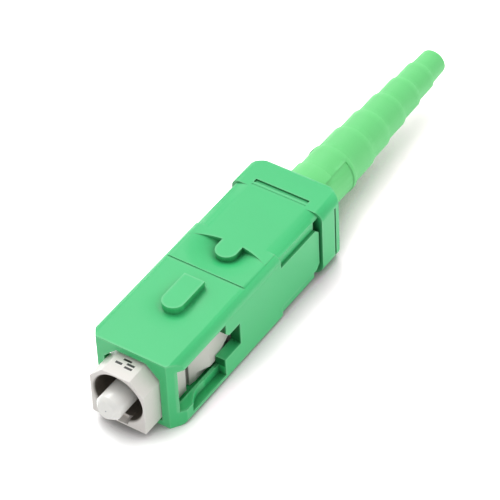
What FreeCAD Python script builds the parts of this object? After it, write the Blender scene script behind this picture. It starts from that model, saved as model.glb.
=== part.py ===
"""SC fibre connector, field-installable type with a 0.9 mm strain-relief boot.

Frame: millimetres. The origin is on the optical axis, in the plane of the outer housing's front face.
X runs across the plug, +Y runs rearwards to the boot, +Z is up, to the key.
Every size is a cell of the sheet "dim". The sketches and features read the cells by name.
"""
import FreeCAD
import Part
import Sketcher
import os

doc = FreeCAD.newDocument("sc_connector")

# ------------------------------------------------------------------ sizes
SIZES = {
    # outer housing: shell
    "shell_half_x": 4.5,
    "shell_half_z": 3.7,
    "shell_rear": 22.2,
    "top_edge_round": 0.8,
    "low_edge_round": 0.5,
    "nose_cut_x": 0.94,
    "nose_cut_y": 1.3,
    # how far a cut reaches past the body, and how deep a pad or cut is rooted in it
    "trim": 1.0,
    "root": 0.2,
    # outer housing: hollow
    "mouth_half_x": 2.82,
    "mouth_top": 3.05,
    "mouth_low": -3.12,
    "mouth_top_cut": 1.3,
    "mouth_depth": 0.8,
    "cavity_half_x": 3.45,
    "cavity_cut": 0.87,
    "cavity_top": 2.78,
    "cavity_low": -3.1,
    "step_y": 9.9,
    "rear_cavity_half_z": 2.65,
    "skirt_bore_r": 2.95,
    "skirt_front": 21.45,
    "detent_slot_x": 3.75,
    "detent_slot_front": 10.4,
    "detent_slot_rear": 14.0,
    "detent_slot_half_z": 1.1,
    # outer housing: side windows and release ramps
    "window_front": 0.8,
    "window_top": 2.72,
    "window_rear": 7.5,
    "window_low": -2.05,
    "window_back_top": 1.2,
    "window_back_low": -1.2,
    "window_back_rear": 9.55,
    "window_corner_y": 7.9,
    "window_corner_z": 1.6,
    "shelf_low": -3.0,
    "shelf_rear": 7.15,
    "ramp_start_y": 2.2,
    "ramp_end_y": 5.0,
    "ramp_hollow_r": 3.2,
    "shelf_inner_x": 3.75,
    # outer housing: key, thumb dish and grooves
    "key_half_x": 1.05,
    "key_top": 4.35,
    "key_front": 5.4,
    "key_rear": 9.6,
    "key_root_z": 3.1,
    "scoop_y": 6.6,
    "scoop_reach": 3.2,
    "scoop_depth": 0.12,
    "line_y": 11.15,
    "line_width": 0.2,
    "line_depth": 0.07,
    "dish_y": 14.7,
    "dish_reach": 3.9,
    "dish_depth": 0.72,
    "wall_tip_x": 3.9,
    "wall_tip_y": 14.45,
    "wall_bow": 0.95,
    "tongue_front": 13.4,
    "tongue_rear": 16.0,
    "tongue_root_z": 2.85,
    # outer housing: grip sides and rear collar
    "grip_front": 16.0,
    "grip_rear": 21.45,
    "grip_depth": 0.27,
    "grip_crown_x": 2.9,
    "grip_edge_z": 3.35,
    "grip_rib_half_z": 2.35,
    "rib_rear": 21.95,
    "neck_slot_x": 3.75,
    "neck_slot_top": 3.2,
    "collar_half_x": 4.72,
    "collar_top": 3.7,
    "collar_low": -3.6,
    "collar_rear": 26.0,
    "collar_round": 0.8,
    "collar_low_round": 1.3,
    "collar_cut_x": 1.7,
    "collar_cut_y": 1.1,
    "collar_end_round": 0.45,
    "slot_y": 23.05,
    "slot_half_x": 2.8,
    "slot_width": 0.42,
    "slot_depth": 0.16,
    "faint_line_y": 22.5,
    "faint_line_width": 0.2,
    "faint_line_depth": 0.03,
    "edge_line_y": 24.3,
    "edge_line_width": 0.2,
    "edge_line_low": -2.6,
    # plug frame
    "frame_front": -2.27,
    "frame_half_x": 2.75,
    "frame_top": 2.75,
    "frame_low": -3.02,
    "frame_top_cut": 1.35,
    "frame_low_cut": 0.25,
    "lead_in_y": 0.5,
    "lead_in_z": 0.25,
    "frame_step": 9.75,
    "frame_rear": 23.6,
    "barrel_half_x": 3.4,
    "barrel_half_z": 2.6,
    "barrel_cut": 0.9,
    "barrel_rear": 21.35,
    "tail_r": 2.55,
    "socket_r": 2.42,
    "socket_lip_r": 2.62,
    "socket_lip_depth": 0.25,
    "socket_floor": 2.2,
    "nose_hole_r": 1.82,
    "collar_bore_r": 2.08,
    "collar_bore_rear": 8.0,
    "barrel_bore_r": 2.25,
    "gate_half_x": 0.9,
    "gate_length": 0.8,
    "gate_low": -2.64,
    "neck_front": 3.7,
    "neck_rear": 4.5,
    "neck_half_x": 2.25,
    "lug_x": 3.38,
    "lug_ramp_x": 2.5,
    "lug_ramp_end": 6.4,
    "lug_rear": 9.4,
    "lug_half_z": 1.9,
    "lug_slope_y": 7.1,
    "lug_tip_half_z": 0.5,
    "detent_x": 3.68,
    "detent_front": 12.45,
    "detent_rear": 13.95,
    "detent_half_z": 1.0,
    "detent_cut": 0.2,
    # ferrule and its holder
    "ferrule_tip": -4.05,
    "ferrule_shoulder": -3.5,
    "ferrule_r": 1.25,
    "ferrule_face_r": 0.72,
    "ferrule_seat": 2.6,
    "ferrule_seat_r": 1.05,
    "ferrule_rear": 6.1,
    "fibre_bore_r": 0.064,
    "face_angle": 8.0,
    "holder_collar_r": 2.0,
    "holder_collar_rear": 5.4,
    "holder_edge_cut": 0.2,
    "holder_inlet_r": 0.4,
    "holder_r": 1.6,
    "holder_bore_r": 1.0,
    "holder_bore_front": 6.6,
    "holder_seat_y": 14.6,
    "holder_rear": 15.3,
    "keel_slot_half_x": 0.35,
    "keel_slot_front": 8.2,
    "keel_slot_rear": 13.9,
    # splice
    "fibre_r": 0.0625,
    "fibre_front": -3.95,
    "fibre_rear": 10.6,
    "splice_front": 6.7,
    "splice_rear": 14.4,
    "splice_r": 0.97,
    "splice_gap": 0.02,
    "splice_groove_r": 0.07,
    "keel_half_x": 0.3,
    "keel_top": 1.66,
    "keel_front": 8.4,
    "keel_rear": 13.7,
    "cam_front": 8.6,
    "cam_rear": 13.5,
    "cam_r": 2.12,
    "cam_bore_r": 1.76,
    "cam_offset": 0.06,
    "cam_flat_z": 1.95,
    # spring and rear parts
    "spring_r": 1.72,
    "wire_r": 0.16,
    "spring_front": 15.4,
    "spring_rear": 20.1,
    "spring_pitch": 0.8,
    "retainer_front": 20.2,
    "retainer_rear": 23.6,
    "retainer_r": 2.24,
    "retainer_tail_r": 1.5,
    "retainer_tail_rear": 28.4,
    "guide_r": 0.55,
    "guide_bore_r": 0.28,
    "guide_front": 16.0,
    "guide_rear": 26.5,
    "guide_flare_r": 0.45,
    "guide_flare": 0.5,
    "crimp_tube_front": 24.4,
    "crimp_tube_rear": 28.9,
    "crimp_tube_r": 1.75,
    "crimp_ring_front": 25.0,
    "crimp_ring_rear": 28.0,
    "crimp_ring_r": 2.0,
    # boot
    "boot_front": 23.6,
    "boot_root_r": 2.62,
    "boot_tip_r": 1.32,
    "boot_rear": 48.9,
    "boot_bore_r": 0.55,
    "boot_socket_r": 2.05,
    "boot_socket_rear": 29.3,
    "boot_cone_rear": 30.6,
    "boot_step": 0.18,
    "boot_tip_round": 0.25,
    "boot_lip_r": 1.55,
    "boot_lip_rear": 24.3,
    "recess_front": 27.4,
    "recess_rear": 30.9,
    "recess_r": 2.44,
    "recess_angle": 98.0,
}
# rear end of each boot segment, from the root to the tip
SEGMENTS = (28.4, 31.4, 34.7, 37.7, 40.7, 43.6, 46.3)

sheet = doc.addObject("Spreadsheet::Sheet", "dim")
for row, (name, value) in enumerate(SIZES.items(), start=1):
    sheet.set(f"A{row}", str(value))
    sheet.setAlias(f"A{row}", name)
for number, y in enumerate(SEGMENTS, start=1):
    cell = f"A{len(SIZES) + number}"
    sheet.set(cell, str(y))
    sheet.setAlias(cell, f"segment_end_{number}")
doc.recompute()

PLANES = {"plan": "XY_Plane", "front": "XZ_Plane", "side": "YZ_Plane"}
# which way the level of each view runs along its plane's normal
LEVEL_SIGN = {"plan": "", "front": "-", "side": ""}
# how near an edge lies to the plane it is looked for on
TOLERANCE = 1e-4


# ------------------------------------------------------------------ helpers
def number(text):
    """Value of an expression that uses the sheet's names."""
    return float(sheet.evalExpression(text))


def new_body(name):
    body = doc.addObject("PartDesign::Body", name)
    body.Label = name
    return body


def origin_part(body, role):
    return next(f for f in body.Origin.OriginFeatures if f.Role == role)


def new_sketch(body, name, view, level="0"):
    """Sketch on one of the body's origin planes, moved to a level along the world axis across it."""
    sk = body.newObject("Sketcher::SketchObject", f"{body.Name}_{name}")
    sk.AttachmentSupport = [(origin_part(body, PLANES[view]), "")]
    sk.MapMode = "FlatFace"
    sk.setExpression("AttachmentOffset.Base.z", f"{LEVEL_SIGN[view]}({level})")
    return sk


def fix_value(sk, index, text):
    sk.setExpression(f"Constraints[{index}]", text)


def fix_point(sk, geo, pos, x, y):
    """Tie a sketch point to two expressions."""
    fix_value(sk, sk.addConstraint(Sketcher.Constraint("DistanceX", -1, 1, geo, pos, number(x))), x)
    fix_value(sk, sk.addConstraint(Sketcher.Constraint("DistanceY", -1, 1, geo, pos, number(y))), y)


def loop(sk, corners):
    """Closed outline. A corner is (x, y), or (x, y, radius, side) for an arc that leads to it.

    side is +1 where the arc bulges to the right of the way round, and -1 to the left.
    """
    points = [FreeCAD.Vector(number(c[0]), number(c[1]), 0) for c in corners]
    links = []
    for k, corner in enumerate(corners):
        a = points[k - 1]
        b = points[k]
        if len(corner) == 2:
            geo = sk.addGeometry(Part.LineSegment(a, b), False)
        else:
            radius = number(corner[2])
            chord = b - a
            right = FreeCAD.Vector(chord.y, -chord.x, 0).normalize()
            sag = radius - (radius**2 - (chord.Length / 2) ** 2) ** 0.5
            middle = (a + b) / 2 + right * sag * corner[3]
            geo = sk.addGeometry(Part.Arc(a, middle, b), False)
        first = 1 if (sk.getPoint(geo, 1) - a).Length < (sk.getPoint(geo, 2) - a).Length else 2
        links.append((geo, first, 3 - first))
    for k, corner in enumerate(corners):
        geo, first, last = links[k]
        following = links[(k + 1) % len(links)]
        sk.addConstraint(Sketcher.Constraint("Coincident", geo, last, following[0], following[1]))
        fix_point(sk, geo, last, corner[0], corner[1])
        if len(corner) == 4:
            radius = Sketcher.Constraint("Radius", geo, number(corner[2]))
            fix_value(sk, sk.addConstraint(radius), corner[2])


def circle(sk, radius, x="0", y="0"):
    centre = FreeCAD.Vector(number(x), number(y), 0)
    geo = sk.addGeometry(Part.Circle(centre, FreeCAD.Vector(0, 0, 1), number(radius)), False)
    fix_point(sk, geo, 3, x, y)
    fix_value(sk, sk.addConstraint(Sketcher.Constraint("Radius", geo, number(radius))), radius)


def feature(body, kind, name, sk):
    f = body.newObject(f"PartDesign::{kind}", f"{body.Name}_{name}")
    f.Profile = sk
    return f


def settle(body, f, grows):
    """Recompute, and stop if the feature failed or changed the volume the wrong way."""
    before = body.Shape.Volume if not body.Shape.isNull() else 0.0
    doc.recompute()
    after = f.Shape.Volume
    if not f.isValid() or (after <= before if grows else after >= before):
        raise RuntimeError(f"{f.Name}: volume {before:.3f} to {after:.3f}")
    return f


def draw(sk, shapes):
    """Each shape is a list of corners, or a tuple (radius, x, y) for a circle."""
    for shape in shapes:
        if isinstance(shape, tuple):
            circle(sk, *shape)
        else:
            loop(sk, shape)


def prism(body, kind, name, view, level, length, *shapes, toward=1, both=False):
    """Pad or Pocket from a level of a view, towards the world axis (toward=1) or against it."""
    sk = new_sketch(body, f"{name}_sketch", view, level)
    draw(sk, shapes)
    f = feature(body, kind, name, sk)
    f.setExpression("Length", length)
    if both:
        f.SideType = "Symmetric"
    along_normal = (toward == 1) == (view != "front")
    f.Reversed = along_normal == (kind == "Pocket")
    return settle(body, f, kind == "Pad")


def turned(body, kind, name, *shapes):
    """Revolution or Groove about the optical axis. The sketch is drawn as (radius, y)."""
    sk = new_sketch(body, f"{name}_sketch", "plan")
    draw(sk, shapes)
    f = feature(body, kind, name, sk)
    f.ReferenceAxis = (sk, ["V_Axis"])
    f.Angle = 360
    return settle(body, f, kind == "Revolution")


def mirrored(body, name, originals, grows):
    """Repeat right-hand features on the left side."""
    m = body.newObject("PartDesign::Mirrored", f"{body.Name}_{name}")
    m.Originals = originals
    m.MirrorPlane = (origin_part(body, "YZ_Plane"), [""])
    body.Tip = m
    return settle(body, m, grows)


def rect(x0, x1, y0, y1):
    return [(x0, y0), (x1, y0), (x1, y1), (x0, y1)]


def rounded_rect(half_x, low, top, low_r, top_r):
    return [
        (f"{half_x} - {low_r}", low),
        (half_x, f"{low} + {low_r}", low_r, 1),
        (half_x, f"{top} - {top_r}"),
        (f"{half_x} - {top_r}", top, top_r, 1),
        (f"-{half_x} + {top_r}", top),
        (f"-{half_x}", f"{top} - {top_r}", top_r, 1),
        (f"-{half_x}", f"{low} + {low_r}"),
        (f"-{half_x} + {low_r}", low, low_r, 1),
    ]


def octagon(half_x, low, top, low_cut, top_cut):
    return [
        (f"{half_x} - {low_cut}", low),
        (half_x, f"{low} + {low_cut}"),
        (half_x, f"{top} - {top_cut}"),
        (f"{half_x} - {top_cut}", top),
        (f"-{half_x} + {top_cut}", top),
        (f"-{half_x}", f"{top} - {top_cut}"),
        (f"-{half_x}", f"{low} + {low_cut}"),
        (f"-{half_x} + {low_cut}", low),
    ]


def finger(half_x, front, rear):
    """Plan outline with a round front end."""
    return [
        (f"-{half_x}", f"{front} + {half_x}"),
        ("0", front, half_x, 1),
        (half_x, f"{front} + {half_x}", half_x, 1),
        (half_x, rear),
        (f"-{half_x}", rear),
    ]


# ------------------------------------------------------------------ outer housing
housing = new_body("outer_housing")
section = rounded_rect(
    "dim.shell_half_x", "-dim.shell_half_z", "dim.shell_half_z", "dim.low_edge_round", "dim.top_edge_round"
)
prism(housing, "Pad", "Shell", "front", "0", "dim.shell_rear", section)
section = rounded_rect(
    "dim.collar_half_x", "dim.collar_low", "dim.collar_top", "dim.collar_low_round", "dim.collar_round"
)
prism(housing, "Pad", "Collar", "front", "dim.shell_rear", "dim.collar_rear - dim.shell_rear", section)

# hollow: mouth, latch chamber, barrel chamber and the round skirt over the boot's root
mouth = [
    ("-dim.mouth_half_x", "dim.mouth_low"),
    ("dim.mouth_half_x", "dim.mouth_low"),
    ("dim.mouth_half_x", "dim.mouth_top - dim.mouth_top_cut"),
    ("dim.mouth_half_x - dim.mouth_top_cut", "dim.mouth_top"),
    ("-dim.mouth_half_x + dim.mouth_top_cut", "dim.mouth_top"),
    ("-dim.mouth_half_x", "dim.mouth_top - dim.mouth_top_cut"),
]
prism(housing, "Pocket", "Mouth", "front", "0", "dim.mouth_depth", mouth)
chamber = rect("-dim.cavity_half_x", "dim.cavity_half_x", "dim.cavity_low", "dim.cavity_top")
prism(
    housing, "Pocket", "LatchChamber", "front", "dim.mouth_depth", "dim.step_y - dim.mouth_depth", chamber
)
chamber = octagon(
    "dim.cavity_half_x",
    "-dim.rear_cavity_half_z",
    "dim.rear_cavity_half_z",
    "dim.cavity_cut",
    "dim.cavity_cut",
)
prism(
    housing, "Pocket", "BarrelChamber", "front", "dim.step_y", "dim.skirt_front - dim.step_y", chamber
)
prism(
    housing,
    "Pocket",
    "Skirt",
    "front",
    "dim.skirt_front",
    "dim.collar_rear - dim.skirt_front",
    ("dim.skirt_bore_r", "0", "0"),
)

# side windows: tall front part, lower rear part
window = [
    ("dim.window_front", "dim.window_low"),
    ("dim.shelf_rear", "dim.window_low"),
    ("dim.shelf_rear", "dim.window_back_low"),
    ("dim.window_back_rear", "dim.window_back_low"),
    ("dim.window_back_rear", "dim.window_back_top"),
    ("dim.window_corner_y", "dim.window_back_top"),
    ("dim.window_rear", "dim.window_corner_z"),
    ("dim.window_rear", "dim.window_top"),
    ("dim.window_front", "dim.window_top"),
]
prism(housing, "Pocket", "Windows", "side", "0", "4 * dim.shell_half_x", window, both=True)


def dished(name, y, reach, depth):
    """Shallow round dish in the top face: an S-curve turned about a vertical axis at y."""
    top = "dim.shell_half_z"
    above = f"({top} + dim.trim)"
    bend = f"(({reach} / 2) ^ 2 + ({depth} / 2) ^ 2) / {depth}"
    sk = new_sketch(housing, f"{name}_sketch", "side")
    ends = [FreeCAD.Vector(number(y), number(top), 0), FreeCAD.Vector(number(y), number(above), 0)]
    axis = sk.addGeometry(Part.LineSegment(*ends), True)
    fix_point(sk, axis, 1, y, top)
    fix_point(sk, axis, 2, y, above)
    profile = [
        (y, f"{top} - {depth}"),
        (f"{y} + {reach} / 2", f"{top} - {depth} / 2", bend, 1),
        (f"{y} + {reach}", top, bend, -1),
        (f"{y} + {reach}", above),
        (y, above),
    ]
    draw(sk, [profile])
    groove = feature(housing, "Groove", name, sk)
    groove.ReferenceAxis = (sk, ["Axis0"])
    groove.Angle = 360
    settle(housing, groove, False)


# top: scooped floor round the key, the key, the thumb dish, its rear wall and the tongue
dished("Scoop", "dim.scoop_y", "dim.scoop_reach", "dim.scoop_depth")
key = finger("dim.key_half_x", "dim.key_front", "dim.key_rear")
prism(housing, "Pad", "Key", "plan", "dim.key_root_z", "dim.key_top - dim.key_root_z", key)

dished("Dish", "dim.dish_y", "dim.dish_reach", "dim.dish_depth")
wall_r = "(dim.wall_tip_x ^ 2 + dim.wall_bow ^ 2) / (2 * dim.wall_bow)"
wall = [
    ("-dim.wall_tip_x", "dim.wall_tip_y"),
    ("0", "dim.wall_tip_y + dim.wall_bow", wall_r, -1),
    ("dim.wall_tip_x", "dim.wall_tip_y", wall_r, -1),
    ("dim.wall_tip_x", "dim.dish_y + dim.dish_reach"),
    ("-dim.wall_tip_x", "dim.dish_y + dim.dish_reach"),
]
fill = "dim.shell_half_z - dim.tongue_root_z"
prism(housing, "Pad", "DishWall", "plan", "dim.tongue_root_z", fill, wall)
tongue = finger("dim.key_half_x", "dim.tongue_front", "dim.tongue_rear")
prism(housing, "Pad", "Tongue", "plan", "dim.tongue_root_z", fill, tongue)

# transverse lines and the slot on the top
line = rect(
    "dim.line_y - dim.line_width / 2",
    "dim.line_y + dim.line_width / 2",
    "dim.shell_half_z - dim.line_depth",
    "dim.shell_half_z + dim.trim",
)
prism(housing, "Pocket", "CrossLine", "side", "0", "4 * dim.shell_half_x", line, both=True)
line = rect(
    "-dim.slot_half_x",
    "dim.slot_half_x",
    "dim.faint_line_y - dim.faint_line_width / 2",
    "dim.faint_line_y + dim.faint_line_width / 2",
)
prism(
    housing,
    "Pocket",
    "FaintLine",
    "plan",
    "dim.shell_half_z - dim.faint_line_depth",
    "dim.trim",
    line,
)
slot = rect(
    "-dim.slot_half_x",
    "dim.slot_half_x",
    "dim.slot_y - dim.slot_width / 2",
    "dim.slot_y + dim.slot_width / 2",
)
prism(housing, "Pocket", "TopSlot", "plan", "dim.collar_top - dim.slot_depth", "dim.trim", slot)

# right-hand features, then their mirror images
nose_cut = [
    ("dim.shell_half_x - dim.nose_cut_x", "-dim.trim"),
    ("dim.shell_half_x + dim.trim", "-dim.trim"),
    ("dim.shell_half_x + dim.trim", "dim.nose_cut_y"),
    ("dim.shell_half_x", "dim.nose_cut_y"),
    ("dim.shell_half_x - dim.nose_cut_x", "0"),
]
right = [prism(housing, "Pocket", "NoseCut", "plan", "0", "4 * dim.shell_half_z", nose_cut, both=True)]
detent_slot = rect(
    "dim.cavity_half_x - dim.root", "dim.detent_slot_x", "dim.detent_slot_front", "dim.detent_slot_rear"
)
slot_height = "2 * dim.detent_slot_half_z"
right.append(prism(housing, "Pocket", "DetentSlot", "plan", "0", slot_height, detent_slot, both=True))
shelf = [
    ("dim.shelf_inner_x", "dim.ramp_end_y"),
    ("dim.shell_half_x", "dim.ramp_start_y", "dim.ramp_hollow_r", 1),
    ("dim.shell_half_x + dim.trim", "dim.ramp_start_y"),
    ("dim.shell_half_x + dim.trim", "dim.shelf_rear"),
    ("dim.shelf_inner_x", "dim.shelf_rear"),
]
shelf_height = "dim.window_low - dim.shelf_low + dim.root"
right.append(prism(housing, "Pocket", "RampShelf", "plan", "dim.shelf_low", shelf_height, shelf))
grip_x = "dim.shell_half_x - dim.grip_depth"
crown_dx = f"({grip_x} - dim.grip_crown_x)"
crown_dz = "(dim.shell_half_z - dim.grip_edge_z)"
crown_r = f"({crown_dx} ^ 2 + {crown_dz} ^ 2) / (2 * {crown_dz})"
grip_high = [
    ("dim.grip_crown_x", "dim.shell_half_z"),
    (grip_x, "dim.grip_edge_z", crown_r, -1),
    (grip_x, "dim.grip_rib_half_z"),
    ("dim.shell_half_x + dim.trim", "dim.grip_rib_half_z"),
    ("dim.shell_half_x + dim.trim", "dim.shell_half_z + dim.trim"),
    ("dim.grip_crown_x", "dim.shell_half_z + dim.trim"),
]
grip_low = [
    (grip_x, "-dim.grip_rib_half_z"),
    (grip_x, "-dim.grip_edge_z"),
    ("dim.grip_crown_x", "-dim.shell_half_z", crown_r, -1),
    ("dim.grip_crown_x", "-dim.shell_half_z - dim.trim"),
    ("dim.shell_half_x + dim.trim", "-dim.shell_half_z - dim.trim"),
    ("dim.shell_half_x + dim.trim", "-dim.grip_rib_half_z"),
]
grip_length = "dim.shell_rear - dim.grip_front"
right.append(
    prism(housing, "Pocket", "GripSide", "front", "dim.grip_front", grip_length, grip_high, grip_low)
)
neck_slot = [
    ("dim.grip_rear", "-dim.shell_half_z - dim.trim"),
    ("dim.shell_rear", "-dim.shell_half_z - dim.trim"),
    ("dim.shell_rear", "dim.neck_slot_top"),
    ("dim.grip_rear", "dim.neck_slot_top"),
    ("dim.grip_rear", "dim.grip_rib_half_z"),
    ("dim.rib_rear", "dim.grip_rib_half_z - (dim.rib_rear - dim.grip_rear)"),
    ("dim.rib_rear", "-dim.grip_rib_half_z + (dim.rib_rear - dim.grip_rear)"),
    ("dim.grip_rear", "-dim.grip_rib_half_z"),
]
right.append(prism(housing, "Pocket", "NeckSlot", "side", "dim.neck_slot_x", "dim.trim", neck_slot))
edge_line = rect(
    "dim.edge_line_y - dim.edge_line_width / 2",
    "dim.edge_line_y + dim.edge_line_width / 2",
    "dim.edge_line_low",
    "dim.collar_top - dim.collar_round",
)
edge_level = "dim.collar_half_x - dim.edge_line_width"
right.append(prism(housing, "Pocket", "EdgeLine", "side", edge_level, "dim.trim", edge_line))
collar_cut = [
    ("dim.collar_half_x - dim.collar_cut_x", "dim.collar_rear + dim.trim"),
    ("dim.collar_half_x - dim.collar_cut_x", "dim.collar_rear"),
    ("dim.collar_half_x", "dim.collar_rear - dim.collar_cut_y"),
    ("dim.collar_half_x + dim.trim", "dim.collar_rear - dim.collar_cut_y"),
    ("dim.collar_half_x + dim.trim", "dim.collar_rear + dim.trim"),
]
right.append(
    prism(housing, "Pocket", "CollarCut", "plan", "0", "4 * dim.shell_half_z", collar_cut, both=True)
)
left_side = mirrored(housing, "LeftSide", right, grows=False)
# the straight edges round the rear face
rear_edges = [
    f"Edge{k}"
    for k, edge in enumerate(left_side.Shape.Edges, start=1)
    if abs(edge.BoundBox.YMin - number("dim.collar_rear")) < TOLERANCE
    and edge.BoundBox.YLength < TOLERANCE
    and not isinstance(edge.Curve, Part.Circle)
]
end_round = housing.newObject("PartDesign::Fillet", "outer_housing_EndRound")
end_round.Base = (left_side, rear_edges)
end_round.setExpression("Radius", "dim.collar_end_round")
housing.Tip = end_round
settle(housing, end_round, False)

# ------------------------------------------------------------------ plug frame
frame = new_body("plug_frame")
section = octagon(
    "dim.frame_half_x", "dim.frame_low", "dim.frame_top", "dim.frame_low_cut", "dim.frame_top_cut"
)
prism(frame, "Pad", "Nose", "front", "dim.frame_front", "dim.frame_step - dim.frame_front", section)
section = octagon(
    "dim.barrel_half_x", "-dim.barrel_half_z", "dim.barrel_half_z", "dim.barrel_cut", "dim.barrel_cut"
)
prism(frame, "Pad", "Barrel", "front", "dim.frame_step", "dim.barrel_rear - dim.frame_step", section)
tail_length = "dim.frame_rear - dim.barrel_rear"
prism(frame, "Pad", "Tail", "front", "dim.barrel_rear", tail_length, ("dim.tail_r", "0", "0"))
lead_in = [
    ("dim.frame_front - dim.trim", "dim.frame_low - dim.trim"),
    ("dim.frame_front + dim.lead_in_y", "dim.frame_low - dim.trim"),
    ("dim.frame_front + dim.lead_in_y", "dim.frame_low"),
    ("dim.frame_front", "dim.frame_low + dim.lead_in_z"),
    ("dim.frame_front - dim.trim", "dim.frame_low + dim.lead_in_z"),
]
prism(frame, "Pocket", "LeadIn", "side", "0", "4 * dim.frame_half_x", lead_in, both=True)
lug = [
    ("dim.neck_rear", "-dim.lug_half_z"),
    ("dim.lug_slope_y", "-dim.lug_half_z"),
    ("dim.lug_rear", "-dim.lug_tip_half_z"),
    ("dim.lug_rear", "dim.lug_tip_half_z"),
    ("dim.lug_slope_y", "dim.lug_half_z"),
    ("dim.neck_rear", "dim.lug_half_z"),
]
lug_pad = prism(
    frame, "Pad", "Lug", "side", "dim.neck_half_x - dim.root", "dim.lug_x - dim.neck_half_x + dim.root", lug
)
detent = [
    ("dim.barrel_half_x - dim.root", "dim.detent_front"),
    ("dim.barrel_half_x", "dim.detent_front"),
    ("dim.detent_x", "dim.detent_front + dim.detent_cut"),
    ("dim.detent_x", "dim.detent_rear"),
    ("dim.barrel_half_x - dim.root", "dim.detent_rear"),
]
detent_pad = prism(
    frame, "Pad", "Detent", "plan", "0", "2 * dim.detent_half_z", detent, both=True
)
mirrored(frame, "LeftLugs", [lug_pad, detent_pad], grows=True)
lug_ramp = [
    ("dim.lug_ramp_x", "dim.neck_rear"),
    ("dim.lug_x + dim.trim", "dim.neck_rear"),
    ("dim.lug_x + dim.trim", "dim.lug_ramp_end"),
    ("dim.lug_x", "dim.lug_ramp_end"),
]
cuts = [prism(frame, "Pocket", "LugRamp", "plan", "0", "4 * dim.lug_half_z", lug_ramp, both=True)]
neck = rect("dim.neck_half_x", "dim.frame_half_x + dim.trim", "dim.neck_front", "dim.neck_rear")
cuts.append(prism(frame, "Pocket", "Neck", "plan", "0", "4 * dim.frame_half_x", neck, both=True))
mirrored(frame, "LeftCuts", cuts, grows=False)
bore = [
    ("0", "dim.frame_front"),
    ("dim.socket_lip_r", "dim.frame_front"),
    ("dim.socket_r", "dim.frame_front + dim.socket_lip_depth"),
    ("dim.socket_r", "dim.socket_floor"),
    ("dim.nose_hole_r", "dim.socket_floor"),
    ("dim.nose_hole_r", "dim.ferrule_seat"),
    ("dim.collar_bore_r", "dim.ferrule_seat"),
    ("dim.collar_bore_r", "dim.collar_bore_rear"),
    ("dim.barrel_bore_r", "dim.collar_bore_rear"),
    ("dim.barrel_bore_r", "dim.frame_rear"),
    ("0", "dim.frame_rear"),
]
turned(frame, "Groove", "Bore", bore)
gate = rect("-dim.gate_half_x", "dim.gate_half_x", "dim.gate_low", "-dim.socket_r + dim.root")
prism(frame, "Pocket", "GateNotch", "front", "dim.frame_front", "dim.gate_length", gate)

# ------------------------------------------------------------------ ferrule, angle-polished
ferrule = new_body("ferrule")
profile = [
    ("dim.fibre_bore_r", "dim.ferrule_tip"),
    ("dim.ferrule_face_r", "dim.ferrule_tip"),
    ("dim.ferrule_r", "dim.ferrule_shoulder"),
    ("dim.ferrule_r", "dim.ferrule_seat"),
    ("dim.ferrule_seat_r", "dim.ferrule_seat"),
    ("dim.ferrule_seat_r", "dim.ferrule_rear"),
    ("dim.holder_inlet_r", "dim.ferrule_rear"),
    ("dim.fibre_bore_r", "dim.ferrule_rear - dim.holder_inlet_r"),
]
turned(ferrule, "Revolution", "Pin", profile)
face_top = "2 * dim.ferrule_r - dim.ferrule_face_r"
face_cut = [
    ("dim.ferrule_tip - dim.trim", "-dim.ferrule_face_r"),
    ("dim.ferrule_tip", "-dim.ferrule_face_r"),
    ("dim.ferrule_tip + 2 * dim.ferrule_r * tan(dim.face_angle * 1 deg)", face_top),
    ("dim.ferrule_tip - dim.trim", face_top),
]
prism(ferrule, "Pocket", "AngledFace", "side", "0", "4 * dim.ferrule_r", face_cut, both=True)

# ------------------------------------------------------------------ ferrule holder with the splice chamber
holder = new_body("ferrule_holder")
profile = [
    ("dim.ferrule_seat_r", "dim.ferrule_seat"),
    ("dim.holder_collar_r - dim.holder_edge_cut", "dim.ferrule_seat"),
    ("dim.holder_collar_r", "dim.ferrule_seat + dim.holder_edge_cut"),
    ("dim.holder_collar_r", "dim.holder_collar_rear"),
    ("dim.holder_r", "dim.holder_collar_rear"),
    ("dim.holder_r", "dim.holder_seat_y"),
    ("dim.holder_collar_r", "dim.holder_seat_y"),
    ("dim.holder_collar_r", "dim.holder_rear"),
    ("dim.holder_bore_r", "dim.holder_rear"),
    ("dim.holder_bore_r", "dim.holder_bore_front"),
    ("dim.holder_inlet_r", "dim.holder_bore_front"),
    ("dim.holder_inlet_r", "dim.ferrule_rear"),
    ("dim.ferrule_seat_r", "dim.ferrule_rear"),
]
turned(holder, "Revolution", "Barrel", profile)
keel_slot = rect(
    "-dim.keel_slot_half_x", "dim.keel_slot_half_x", "dim.keel_slot_front", "dim.keel_slot_rear"
)
prism(holder, "Pocket", "KeelSlot", "plan", "0", "dim.holder_r + dim.trim", keel_slot)

# ------------------------------------------------------------------ fibre and splice halves
fibre = new_body("fibre_stub")
prism(
    fibre,
    "Pad",
    "Glass",
    "front",
    "dim.fibre_front",
    "dim.fibre_rear - dim.fibre_front",
    ("dim.fibre_r", "0", "0"),
)


def half_disc(radius, gap, groove):
    """Upper half of the splice section: flat underside with a round groove for the fibre."""
    flat = f"{gap} / 2"
    reach = f"sqrt({radius} ^ 2 - ({flat}) ^ 2)"
    groove_half = f"sqrt({groove} ^ 2 - ({flat}) ^ 2)"
    return [
        (f"-{groove_half}", flat),
        (groove_half, flat, groove, -1),
        (reach, flat),
        ("0", radius, radius, 1),
        (f"-{reach}", flat, radius, 1),
    ]


upper = new_body("splice_half_upper")
section = half_disc("dim.splice_r", "dim.splice_gap", "dim.splice_groove_r")
prism(upper, "Pad", "Half", "front", "dim.splice_front", "dim.splice_rear - dim.splice_front", section)
keel = rect("-dim.keel_half_x", "dim.keel_half_x", "dim.keel_front", "dim.keel_rear")
prism(upper, "Pad", "Keel", "plan", "dim.splice_r / 2", "dim.keel_top - dim.splice_r / 2", keel)

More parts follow.
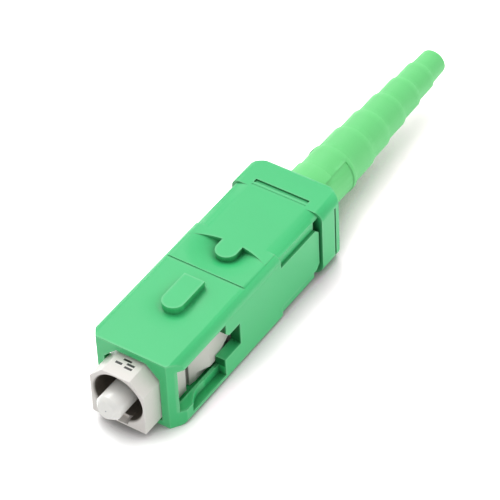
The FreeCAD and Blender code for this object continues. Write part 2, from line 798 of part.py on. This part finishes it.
lower = new_body("splice_half_lower")
section = [
    (x, f"-({z})", *([arc[0], -arc[1]] if arc else []))
    for x, z, *arc in half_disc("dim.splice_r", "dim.splice_gap", "dim.splice_groove_r")
]
prism(lower, "Pad", "Half", "front", "dim.splice_front", "dim.splice_rear - dim.splice_front", section)

# ------------------------------------------------------------------ cam ring
cam = new_body("cam_ring")
prism(cam, "Pad", "Ring", "front", "dim.cam_front", "dim.cam_rear - dim.cam_front", ("dim.cam_r", "0", "0"))
prism(
    cam,
    "Pocket",
    "Bore",
    "front",
    "dim.cam_front",
    "dim.cam_rear - dim.cam_front",
    ("dim.cam_bore_r", "0", "-dim.cam_offset"),
)
flat = rect("-dim.cam_r", "dim.cam_r", "dim.cam_flat_z", "dim.cam_r + dim.trim")
prism(cam, "Pocket", "Flat", "front", "dim.cam_front", "dim.cam_rear - dim.cam_front", flat)

# ------------------------------------------------------------------ spring
spring = new_body("spring")
wire_sketch = new_sketch(spring, "Wire_sketch", "plan")
circle(wire_sketch, "dim.wire_r", "dim.spring_r", "dim.spring_front + dim.wire_r")
doc.recompute()
coil = feature(spring, "AdditiveHelix", "Coil", wire_sketch)
coil.ReferenceAxis = (wire_sketch, ["V_Axis"])
coil.Mode = "pitch-height-angle"
coil.setExpression("Pitch", "dim.spring_pitch")
coil.setExpression("Height", "dim.spring_rear - dim.spring_front - 2 * dim.wire_r")
settle(spring, coil, True)

# ------------------------------------------------------------------ retainer, lead-in tube and crimp parts
retainer = new_body("spring_retainer")
profile = [
    ("dim.guide_r", "dim.retainer_front"),
    ("dim.retainer_r", "dim.retainer_front"),
    ("dim.retainer_r", "dim.retainer_rear"),
    ("dim.retainer_tail_r", "dim.retainer_rear"),
    ("dim.retainer_tail_r", "dim.retainer_tail_rear"),
    ("dim.guide_r", "dim.retainer_tail_rear"),
]
turned(retainer, "Revolution", "Plug", profile)

guide = new_body("lead_in_tube")
profile = [
    ("dim.guide_bore_r", "dim.guide_front"),
    ("dim.guide_r", "dim.guide_front"),
    ("dim.guide_r", "dim.guide_rear"),
    ("dim.guide_flare_r", "dim.guide_rear"),
    ("dim.guide_bore_r", "dim.guide_rear - dim.guide_flare"),
]
turned(guide, "Revolution", "Tube", profile)

crimp_tube = new_body("crimp_tube")
profile = rect("dim.retainer_tail_r", "dim.crimp_tube_r", "dim.crimp_tube_front", "dim.crimp_tube_rear")
turned(crimp_tube, "Revolution", "Tube", profile)

crimp_ring = new_body("crimp_ring")
profile = rect("dim.crimp_tube_r", "dim.crimp_ring_r", "dim.crimp_ring_front", "dim.crimp_ring_rear")
turned(crimp_ring, "Revolution", "Ring", profile)

# ------------------------------------------------------------------ boot
boot = new_body("boot")
taper = "(dim.boot_root_r - dim.boot_tip_r) / (dim.boot_rear - dim.segment_end_1)"
profile = [
    ("dim.boot_lip_r", "dim.boot_front"),
    ("dim.boot_root_r + dim.boot_step / 2", "dim.boot_front"),
]
for k in range(1, len(SEGMENTS) + 1):
    end = f"dim.segment_end_{k}"
    mean = f"dim.boot_root_r - {taper} * ({end} - dim.segment_end_1)"
    profile.append((f"{mean} + dim.boot_step / 2", end))
    profile.append((f"{mean} - dim.boot_step / 2", end))
profile += [
    ("dim.boot_tip_r", "dim.boot_rear - dim.boot_tip_round"),
    ("dim.boot_tip_r - dim.boot_tip_round", "dim.boot_rear", "dim.boot_tip_round", 1),
    ("dim.boot_bore_r", "dim.boot_rear"),
    ("dim.boot_bore_r", "dim.boot_cone_rear"),
    ("dim.boot_socket_r", "dim.boot_socket_rear"),
    ("dim.boot_socket_r", "dim.boot_lip_rear"),
    ("dim.boot_lip_r", "dim.boot_lip_rear"),
]
turned(boot, "Revolution", "Cone", profile)
recess_sketch = new_sketch(boot, "Recess_sketch", "plan")
recess_outer = "dim.boot_root_r + dim.trim"
draw(recess_sketch, [rect("dim.recess_r", recess_outer, "dim.recess_front", "dim.recess_rear")])
recess = feature(boot, "Groove", "Recess", recess_sketch)
recess.ReferenceAxis = (recess_sketch, ["V_Axis"])
recess.setExpression("Angle", "dim.recess_angle")
recess.Midplane = True
settle(boot, recess, False)
mirrored(boot, "LeftRecess", [recess], grows=False)

# ------------------------------------------------------------------ check and write
BODIES = (
    housing,
    frame,
    ferrule,
    holder,
    fibre,
    upper,
    lower,
    cam,
    spring,
    retainer,
    guide,
    crimp_tube,
    crimp_ring,
    boot,
)
doc.recompute()
for item in doc.Objects:
    if "Invalid" in item.State or "Error" in item.State:
        raise RuntimeError(f"{item.Name}: {item.State}")
os.makedirs("parts", exist_ok=True)
for body in BODIES:
    shape = body.Shape
    if shape.isNull() or not shape.isValid() or len(shape.Solids) != 1:
        raise RuntimeError(f"{body.Name}: bad shape")
    shape.exportStep(f"parts/{body.Label}.step")
    print(body.Label, round(shape.Volume, 3))
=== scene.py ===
"""Looks of the SC fibre connector: finishes, print marks, spring, floor, light and camera.

The frame is the CAD's: +Y runs rearwards to the boot, +Z is up, and the ferrule looks along -Y
from the origin. Values are in metres, unless their comment says mm.
"""
import math

import bpy
from mathutils import Matrix, Vector


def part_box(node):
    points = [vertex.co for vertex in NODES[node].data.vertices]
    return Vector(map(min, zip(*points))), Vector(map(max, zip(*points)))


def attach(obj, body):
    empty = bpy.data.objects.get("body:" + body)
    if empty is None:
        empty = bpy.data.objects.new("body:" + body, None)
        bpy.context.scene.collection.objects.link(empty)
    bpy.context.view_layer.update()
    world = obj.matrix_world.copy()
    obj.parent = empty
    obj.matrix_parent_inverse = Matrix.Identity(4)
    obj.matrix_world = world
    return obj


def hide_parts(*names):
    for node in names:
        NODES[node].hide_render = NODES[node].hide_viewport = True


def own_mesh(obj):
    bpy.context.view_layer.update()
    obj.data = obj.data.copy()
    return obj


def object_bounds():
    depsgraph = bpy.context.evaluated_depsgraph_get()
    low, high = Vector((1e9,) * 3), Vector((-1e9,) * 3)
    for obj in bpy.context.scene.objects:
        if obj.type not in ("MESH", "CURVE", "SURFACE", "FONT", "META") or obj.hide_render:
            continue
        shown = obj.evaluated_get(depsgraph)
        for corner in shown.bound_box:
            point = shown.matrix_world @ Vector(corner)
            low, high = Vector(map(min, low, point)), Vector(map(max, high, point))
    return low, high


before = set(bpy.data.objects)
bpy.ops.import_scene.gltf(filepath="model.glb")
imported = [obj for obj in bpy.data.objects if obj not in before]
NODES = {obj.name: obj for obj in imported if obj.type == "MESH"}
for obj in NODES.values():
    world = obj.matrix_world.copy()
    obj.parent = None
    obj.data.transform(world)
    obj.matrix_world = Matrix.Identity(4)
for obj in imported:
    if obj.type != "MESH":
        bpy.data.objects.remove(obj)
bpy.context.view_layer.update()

MM = 0.001
scene = bpy.context.scene


# ---------------------------------------------------------------- colours (linear)
def linear(red, green, blue):
    """sRGB 0-255 to linear, by the standard's own curve."""
    out = []
    for value in (red, green, blue):
        c = value / 255
        out.append(c / 12.92 if c <= 0.04045 else ((c + 0.055) / 1.055) ** 2.4)
    return tuple(out)


WHITE = (1, 1, 1)
HOUSING_GREEN = linear(60, 201, 122)
BOOT_GREEN = linear(112, 220, 132)
FRAME_GREY = linear(232, 227, 222)
CERAMIC_WHITE = linear(244, 243, 238)
INNER_WHITE = linear(226, 226, 222)
CAM_GREY = linear(92, 96, 104)
STEEL = linear(176, 176, 178)
BRASS = linear(206, 178, 96)
ALUMINIUM = linear(204, 204, 208)
GLASS_TINT = (0.9, 0.95, 1.0)
INK = linear(38, 36, 36)
SOCKET_SHADE = linear(84, 78, 70)
WINDOW_SHADE = linear(14, 104, 54)

# ---------------------------------------------------------------- places of paint
# the plug frame's bore: radius, and how wide its lit lip is
SOCKET_R = 2.42 * MM
SOCKET_LIP = 0.16 * MM
# the rest are boxes in mm, low and high corner of each, and how wide their soft rim is
# the lit land in the notch under the ferrule
GATE_LAND = ((-0.45, -2.4, -3.0), (0.45, -1.4, -2.45))
GATE_SOFT = 0.05
# walls in deep shade at the rear of the side windows
WINDOW_WALLS = (
    ((-4.35, 7.4, -1.1), (4.35, 9.7, 2.75)),
    ((-4.35, 6.7, -2.0), (4.35, 7.3, -1.3)),
)
WINDOW_SOFT = 0.12
# plain printed bars on the plug frame's top
FRAME_MARKS = (
    ((-0.95, -0.95, 2.6), (-0.3, -0.71, 2.8)),
    ((0.05, -1.1, 2.6), (0.8, -0.88, 2.8)),
    ((0.05, -0.7, 2.6), (0.8, -0.48, 2.8)),
    ((-0.5, -0.36, 2.6), (0.3, -0.16, 2.8)),
)
MARK_SOFT = 0.02

# ---------------------------------------------------------------- finish
# colour drift: how much darker it gets, and the scale and detail of the noise behind it
PLASTIC_DRIFT = 0.06
PLASTIC_DRIFT_SCALE = 220
CERAMIC_DRIFT = 0.02
CERAMIC_DRIFT_SCALE = 300
DRIFT_DETAIL = 2.0
# moulded grain, as bump
GRAIN_SCALE = 5200
GRAIN_DETAIL = 3.0
GRAIN_STRENGTH = 1.0
# a metal's roughness wanders between these shares of its value
METAL_SMOOTHEST = 0.8
METAL_ROUGHEST = 1.25
METAL_SCALE = 900
METAL_DETAIL = 4.0
# how open a surface is, which sets the painted shade in corners and the painted highlight on edges:
# rays cast, how far they look, and where the change starts and ends
OPENNESS_RAYS = 8
CORNER_REACH = 1.5 * MM
CORNER_DARKEST = 0.3
CORNER_CLEAR = 0.9
EDGE_REACH = 0.3 * MM
EDGE_PLAIN = 0.95
EDGE_LIGHTEST = 0.45
# what the shader's own sockets are set to, beside colour and roughness
PLASTIC_SCATTER = {"Subsurface Radius": (1.0, 1.0, 1.0), "Subsurface Scale": 0.4 * MM}
CERAMIC_LOOK = {
    "Subsurface Weight": 0.15,
    "Subsurface Radius": (1.0, 0.9, 0.8),
    "Subsurface Scale": 0.3 * MM,
    "Coat Weight": 0.3,
    "Coat Roughness": 0.08,
}
GLASS_LOOK = {"Transmission Weight": 0.5, "IOR": 1.46}
# points closer than the gap are welded, and then edges sharper than the angle are rounded
WELD_GAP = 0.0005 * MM
ROUNDING_STEPS = 2
ROUNDING_ANGLE = math.radians(28)


# ---------------------------------------------------------------- node helpers
def feed(tree, source, socket):
    """Give a socket its input: another node's output, a colour or a number."""
    if isinstance(source, bpy.types.NodeSocket):
        tree.links.new(source, socket)
    elif isinstance(source, tuple):
        socket.default_value = (*source, 1)
    else:
        socket.default_value = source


def remap(tree, value, start, end, low=0.0, high=1.0):
    """Map start..end to low..high, and stay at low or high outside them."""
    node = tree.nodes.new("ShaderNodeMapRange")
    node.inputs["From Min"].default_value = start
    node.inputs["From Max"].default_value = end
    node.inputs["To Min"].default_value = low
    node.inputs["To Max"].default_value = high
    tree.links.new(value, node.inputs["Value"])
    return node.outputs["Result"]


def mix_numbers(tree, low, high, factor):
    """Low where the factor is 0, high where it is 1."""
    node = tree.nodes.new("ShaderNodeMix")
    feed(tree, low, node.inputs["A"])
    feed(tree, high, node.inputs["B"])
    feed(tree, factor, node.inputs["Factor"])
    return node.outputs["Result"]


def mix_colours(tree, under, over, factor, blend="MIX"):
    """The colour under where the factor is 0, with the colour over laid on where it is 1."""
    node = tree.nodes.new("ShaderNodeMix")
    node.data_type = "RGBA"
    node.blend_type = blend
    feed(tree, under, node.inputs["A"])
    feed(tree, over, node.inputs["B"])
    feed(tree, factor, node.inputs["Factor"])
    return node.outputs["Result"]


def calculate(tree, operation, *values):
    """The result of one Math node."""
    node = tree.nodes.new("ShaderNodeMath")
    node.operation = operation
    for value, socket in zip(values, node.inputs):
        feed(tree, value, socket)
    return node.outputs[0]


def coordinates(tree, kind="Object"):
    """Texture coordinates of this kind."""
    return tree.nodes.new("ShaderNodeTexCoord").outputs[kind]


def axes(tree, vector):
    """X, Y and Z of a vector, one output each."""
    split = tree.nodes.new("ShaderNodeSeparateXYZ")
    tree.links.new(vector, split.inputs[0])
    return split.outputs


def noise(tree, scale, detail, low=0.0, high=1.0):
    """Noise over the piece, from low to high."""
    node = tree.nodes.new("ShaderNodeTexNoise")
    node.inputs["Scale"].default_value = scale
    node.inputs["Detail"].default_value = detail
    tree.links.new(coordinates(tree), node.inputs["Vector"])
    return remap(tree, node.outputs["Fac"], 0.0, 1.0, low, high)


def openness(tree, reach, own=False, inside=False):
    """1 on open surfaces, falling towards 0 in corners and grooves narrower than reach.

    With own, only the piece's own walls count. With inside, the rays look into the piece, so that
    it falls at outer edges instead.
    """
    node = tree.nodes.new("ShaderNodeAmbientOcclusion")
    node.samples = OPENNESS_RAYS
    node.only_local = own
    node.inside = inside
    node.inputs["Distance"].default_value = reach
    return node.outputs["AO"]


def ray_kinds(tree, first, *others):
    """1 for these kinds of ray, by their Light Path names, and 0 for the rest."""
    path = tree.nodes.new("ShaderNodeLightPath")
    found = path.outputs[first]
    for name in others:
        found = calculate(tree, "MAXIMUM", found, path.outputs[name])
    return found


def box_mask(tree, place, low, high, soft):
    """1 inside a box of object coordinates, fading out over soft. Corners and soft are in mm."""
    mask = 1.0
    for axis, start, end in zip(axes(tree, place), low, high):
        middle = (start + end) / 2 * MM
        half = (end - start) / 2 * MM
        distance = calculate(tree, "ABSOLUTE", calculate(tree, "SUBTRACT", axis, middle))
        inside = remap(tree, distance, half + soft * MM, half)
        mask = calculate(tree, "MULTIPLY", mask, inside)
    return mask


def bore_mask(tree, place, radius, lip):
    """1 within a radius of the Y axis, fading out over the lip outside it."""
    flatten = tree.nodes.new("ShaderNodeVectorMath")
    flatten.operation = "MULTIPLY"
    flatten.inputs[1].default_value = (1, 0, 1)
    tree.links.new(place, flatten.inputs[0])
    distance = tree.nodes.new("ShaderNodeVectorMath")
    distance.operation = "LENGTH"
    tree.links.new(flatten.outputs[0], distance.inputs[0])
    return remap(tree, distance.outputs["Value"], radius + lip, radius)


# ---------------------------------------------------------------- materials
def new_material(name, colour, roughness, metallic=0.0):
    """A Principled material and its nodes: (material, node tree, shader)."""
    material = bpy.data.materials.new(name)
    material.use_nodes = True
    tree = material.node_tree
    shader = tree.nodes["Principled BSDF"]
    shader.inputs["Base Color"].default_value = (*colour, 1)
    shader.inputs["Roughness"].default_value = roughness
    shader.inputs["Metallic"].default_value = metallic
    return material, tree, shader


def set_sockets(shader, look):
    """Set the shader's sockets, by their names."""
    for name, value in look.items():
        shader.inputs[name].default_value = value


def mottle(tree, shader, colour, amount, scale):
    """The colour drifts a little over the piece, as moulded plastic does."""
    darker = tuple(c * (1 - amount) for c in colour)
    drift = mix_colours(tree, darker, colour, noise(tree, scale, DRIFT_DETAIL))
    tree.links.new(drift, shader.inputs["Base Color"])


def overlay(tree, shader, mask, colour, blend="MIX"):
    """Lay a colour over what the shader has now, where the mask is 1."""
    base = shader.inputs["Base Color"]
    under = base.links[0].from_socket
    tree.links.new(mix_colours(tree, under, colour, mask, blend), base)


def paint_corner_shade(tree, shader, share):
    """Paint shade into grooves and inner corners: darken them to share of the colour."""
    clear = remap(tree, openness(tree, CORNER_REACH, own=True), CORNER_DARKEST, CORNER_CLEAR)
    shade = mix_colours(tree, (share, share, share), WHITE, clear)
    overlay(tree, shader, 1.0, shade, blend="MULTIPLY")


def paint_edge_highlights(tree, shader, share):
    """Paint a highlight on outer edges: they look lighter by share of white."""
    solid = openness(tree, EDGE_REACH, inside=True)
    painted_highlight = remap(tree, solid, EDGE_PLAIN, EDGE_LIGHTEST, high=share)
    overlay(tree, shader, painted_highlight, WHITE)


def add_grain(tree, shader, height):
    """Fine moulded grain as bump."""
    bump = tree.nodes.new("ShaderNodeBump")
    bump.inputs["Strength"].default_value = GRAIN_STRENGTH
    bump.inputs["Distance"].default_value = height
    tree.links.new(noise(tree, GRAIN_SCALE, GRAIN_DETAIL), bump.inputs["Height"])
    tree.links.new(bump.outputs["Normal"], shader.inputs["Normal"])


def plastic(name, colour, roughness, grain=0.004, glow=0.0, edges=0.0, corners=0.32):
    """Moulded plastic with a fine grain, whose height is in mm.

    Glow is the share of light that scatters inside, edges how much the painted highlight lightens
    outer edges, and corners the share of the colour that is left in tight inner corners under
    painted shade.
    """
    material, tree, shader = new_material(name, colour, roughness)
    mottle(tree, shader, colour, PLASTIC_DRIFT, PLASTIC_DRIFT_SCALE)
    # painted shade in tight inner corners and grooves
    paint_corner_shade(tree, shader, corners)
    # painted highlight on the outer edges, where edges is above 0
    if edges:
        paint_edge_highlights(tree, shader, edges)
    add_grain(tree, shader, grain * MM)
    shader.inputs["Subsurface Weight"].default_value = glow
    set_sockets(shader, PLASTIC_SCATTER)
    return material


def metal(name, colour, roughness):
    """Metal with an uneven polish."""
    material, tree, shader = new_material(name, colour, roughness, metallic=1.0)
    smoothest = roughness * METAL_SMOOTHEST
    roughest = roughness * METAL_ROUGHEST
    polish = noise(tree, METAL_SCALE, METAL_DETAIL, smoothest, roughest)
    tree.links.new(polish, shader.inputs["Roughness"])
    return material


def ceramic():
    """White zirconia, polished."""
    material, tree, shader = new_material("zirconia", CERAMIC_WHITE, roughness=0.16)
    mottle(tree, shader, CERAMIC_WHITE, CERAMIC_DRIFT, CERAMIC_DRIFT_SCALE)
    set_sockets(shader, CERAMIC_LOOK)
    return material


def glass():
    """The fibre's glass, half see-through."""
    material, tree, shader = new_material("fibre_glass", GLASS_TINT, roughness=0.02)
    set_sockets(shader, GLASS_LOOK)
    return material


# ---------------------------------------------------------------- paint
def paint_boxes(material, boxes, soft, colour):
    """Paint boxes of a finished material in one colour. Corners and soft are in mm."""
    tree = material.node_tree
    shader = tree.nodes["Principled BSDF"]
    place = coordinates(tree)
    for low, high in boxes:
        overlay(tree, shader, box_mask(tree, place, low, high, soft), colour)


def shade_socket(material):
    """The bore round the ferrule is in deep shade, with a soft change at its lip."""
    tree = material.node_tree
    shader = tree.nodes["Principled BSDF"]
    mask = bore_mask(tree, coordinates(tree), SOCKET_R, SOCKET_LIP)
    overlay(tree, shader, mask, SOCKET_SHADE)


# ---------------------------------------------------------------- dressing the CAD nodes
def dress(node_name, material, bevel=0.0):
    """Give a CAD node its finish, and round its sharp edges in the picture by bevel mm."""
    node = NODES[node_name]
    node.data.materials.clear()
    node.data.materials.append(material)
    if bevel:
        weld = node.modifiers.new("weld", "WELD")
        weld.merge_threshold = WELD_GAP
        rounding = node.modifiers.new("edge_rounding", "BEVEL")
        rounding.width = bevel * MM
        rounding.segments = ROUNDING_STEPS
        rounding.limit_method = "ANGLE"
        rounding.angle_limit = ROUNDING_ANGLE
        rounding.miter_outer = "MITER_ARC"
        rounding.harden_normals = True


green = plastic("housing_plastic", HOUSING_GREEN, roughness=0.38, glow=0.12, edges=0.08)
boot_green = plastic("boot_plastic", BOOT_GREEN, roughness=0.48, grain=0.006, glow=0.35, corners=0.7)
grey = plastic("frame_plastic", FRAME_GREY, roughness=0.35, glow=0.1, edges=0.1)
inner = plastic("inner_plastic", INNER_WHITE, roughness=0.4)
cam_plastic = plastic("cam_plastic", CAM_GREY, roughness=0.4)
steel = metal("spring_steel", STEEL, roughness=0.25)
brass = metal("crimp_brass", BRASS, roughness=0.3)
aluminium = metal("crimp_aluminium", ALUMINIUM, roughness=0.32)

paint_boxes(green, WINDOW_WALLS, WINDOW_SOFT, WINDOW_SHADE)
shade_socket(grey)
paint_boxes(grey, (GATE_LAND,), GATE_SOFT, FRAME_GREY)
paint_boxes(grey, FRAME_MARKS, MARK_SOFT, INK)

dress("outer_housing", green, bevel=0.1)
dress("boot", boot_green, bevel=0.05)
dress("plug_frame", grey, bevel=0.06)
dress("ferrule", ceramic(), bevel=0.03)
dress("ferrule_holder", inner)
dress("splice_half_upper", inner)
dress("splice_half_lower", inner)
dress("spring_retainer", inner)
dress("lead_in_tube", inner)
dress("cam_ring", cam_plastic)
dress("crimp_tube", brass)
dress("crimp_ring", aluminium)
dress("fibre_stub", glass())

# ---------------------------------------------------------------- spring
# the wire and pitch of the part's source
SPRING_WIRE_R = 0.16 * MM
SPRING_PITCH = 0.8 * MM
# how finely the helix and its round wire are drawn
STEPS_A_TURN = 32
WIRE_ROUNDNESS = 4


def wind_spring(name, node, material):
    """A helix of round wire along Y, in the space of a CAD node. It stands in for that node."""
    low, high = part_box(node)
    length = high[1] - low[1]
    coil_r = (high[0] - low[0]) / 2 - SPRING_WIRE_R
    front = low[1] + SPRING_WIRE_R
    turns = (length - 2 * SPRING_WIRE_R) / SPRING_PITCH
    steps = round(turns * STEPS_A_TURN)

    curve = bpy.data.curves.new(name + "_line", "CURVE")
    curve.dimensions = "3D"
    curve.bevel_depth = SPRING_WIRE_R
    curve.bevel_resolution = WIRE_ROUNDNESS
    curve.use_fill_caps = True
    line = curve.splines.new("POLY")
    line.points.add(steps)
    for i, point in enumerate(line.points):
        angle = 2 * math.pi * turns * i / steps
        along = front + SPRING_PITCH * turns * i / steps
        point.co = (coil_r * math.cos(angle), along, -coil_r * math.sin(angle), 1)

    bare = bpy.data.objects.new(name + "_line", curve)
    piece = bpy.data.objects.new(name, bpy.data.meshes.new_from_object(bare))
    bpy.data.objects.remove(bare)
    scene.collection.objects.link(piece)
    for face in piece.data.polygons:
        face.use_smooth = True
    piece.data.materials.clear()
    piece.data.materials.append(material)
    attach(piece, "frame_body")
    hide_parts(node)
    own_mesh(piece)


wind_spring("wound_spring", "spring", steel)

# ---------------------------------------------------------------- floor
FLOOR_SIZE = 3.0
# white paper: what it gives back to the object and to mirrors, and how bright the camera sees it
FLOOR_BOUNCE = (0.8, 0.8, 0.8)
FLOOR_GLOSS = (1.6, 1.6, 1.6)
FLOOR_SEEN = (2.2, 2.2, 2.2)
# how bright the camera sees it close under the object, and how far that shade reaches
FLOOR_CONTACT = (0.44, 0.44, 0.44)
CONTACT_REACH = 4.8 * MM
CONTACT_DARKEST = 0.3
CONTACT_CLEAR = 0.94
# beside the green body the paper is painted a little rosy, against the green light bounced on it, so
# that the shadow there stays grey
FLOOR_ROSY = (1.08, 0.88, 1.0)
ROSY_FROM = -3.0 * MM
ROSY_TO = 4.0 * MM


def paper_seen(tree):
    """The paper's colour to the camera: white, with a painted shadow under the object, and painted
    rosy beside the body against its green bounce light.
    """
    clear = remap(tree, openness(tree, CONTACT_REACH), CONTACT_DARKEST, CONTACT_CLEAR)
    shadowed = mix_colours(tree, FLOOR_CONTACT, FLOOR_SEEN, clear)
    beside = remap(tree, axes(tree, coordinates(tree))["Y"], ROSY_FROM, ROSY_TO)
    tint = mix_colours(tree, WHITE, FLOOR_ROSY, beside)
    return mix_colours(tree, shadowed, tint, 1.0, blend="MULTIPLY")


def lay_floor():
    """White paper at the object's lowest point."""
    low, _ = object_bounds()
    bpy.ops.mesh.primitive_plane_add(size=FLOOR_SIZE, location=(0, 0, low[2]))
    floor = bpy.context.object
    floor.name = "floor"
    material, tree, shader = new_material("floor_white", FLOOR_BOUNCE, roughness=1.0)
    shader.inputs["Specular IOR Level"].default_value = 0.0
    mirrored = ray_kinds(tree, "Is Glossy Ray", "Is Transmission Ray")
    unseen = mix_colours(tree, FLOOR_BOUNCE, FLOOR_GLOSS, mirrored)
    colour = mix_colours(tree, unseen, paper_seen(tree), ray_kinds(tree, "Is Camera Ray"))
    tree.links.new(colour, shader.inputs["Base Color"])
    floor.data.materials.append(material)


lay_floor()

# ---------------------------------------------------------------- light
SKY = 0.9
# the sky's light from the front (-Y) and from the back, as shares of SKY
SKY_FRONT = 0.6
SKY_BACK = 1.25
# where it is seen or mirrored, the sky is plain white
SKY_SEEN = 1.0
# the lamps: their places, sizes and power, and the middle of the object, which they look at
LAMPS_AIM = (0, 0.02, 0)
KEY_PLACE = (-0.35, 0.2, 0.55)
KEY_SIZE = 0.4
KEY_POWER = 1.8
SIDE_PLACE = (0.6, -0.1, 0.2)
SIDE_SIZE = 0.5
SIDE_POWER = 0.12


def make_sky():
    """White all round. It gives less light from the front, and looks white where it is seen."""
    world = bpy.data.worlds.new("studio")
    scene.world = world
    world.use_nodes = True
    tree = world.node_tree
    rearwards = axes(tree, coordinates(tree, "Generated"))["Y"]
    light = remap(tree, rearwards, -1.0, 1.0, SKY * SKY_FRONT, SKY * SKY_BACK)
    shown = ray_kinds(tree, "Is Camera Ray", "Is Glossy Ray", "Is Transmission Ray")
    background = tree.nodes["Background"]
    background.inputs["Color"].default_value = (*WHITE, 1)
    tree.links.new(mix_numbers(tree, light, SKY_SEEN, shown), background.inputs["Strength"])


def area_light(name, place, size, power):
    """A soft square lamp."""
    data = bpy.data.lights.new(name, "AREA")
    data.size = size
    data.energy = power
    lamp = bpy.data.objects.new(name, data)
    scene.collection.objects.link(lamp)
    lamp.location = place
    view = Vector(LAMPS_AIM) - Vector(place)
    lamp.rotation_euler = view.to_track_quat("-Z", "Y").to_euler()


make_sky()
area_light("key", KEY_PLACE, KEY_SIZE, KEY_POWER)
area_light("side", SIDE_PLACE, SIDE_SIZE, SIDE_POWER)

# ---------------------------------------------------------------- camera
# where the camera stands and how it is turned
PLACE = (111.01 * MM, -137.1 * MM, 181.7 * MM)
AZIMUTH = math.radians(35.62)
ELEVATION = math.radians(43.5)
ROLL = math.radians(-2.98)
# lens and sensor, in mm
FOCAL = 217.0
SENSOR = 36.0
# the nearest and the furthest that it sees
CLIP_START = 0.005
CLIP_END = 10


def make_camera():
    """A camera at the photograph's viewing angle."""
    back = Vector(
        (
            math.sin(AZIMUTH) * math.cos(ELEVATION),
            -math.cos(AZIMUTH) * math.cos(ELEVATION),
            math.sin(ELEVATION),
        )
    )
    right = (-back).cross(Vector((0, 0, 1))).normalized()
    up = back.cross(right)
    turn = Matrix((right, up, back)).transposed()
    data = bpy.data.cameras.new("camera")
    data.sensor_width = SENSOR
    data.lens = FOCAL
    data.clip_start = CLIP_START
    data.clip_end = CLIP_END
    camera = bpy.data.objects.new("camera", data)
    camera.matrix_world = Matrix.Translation(PLACE) @ turn.to_4x4() @ Matrix.Rotation(ROLL, 4, "Z")
    scene.collection.objects.link(camera)
    return camera


scene.camera = make_camera()
scene.view_settings.view_transform = "Standard"
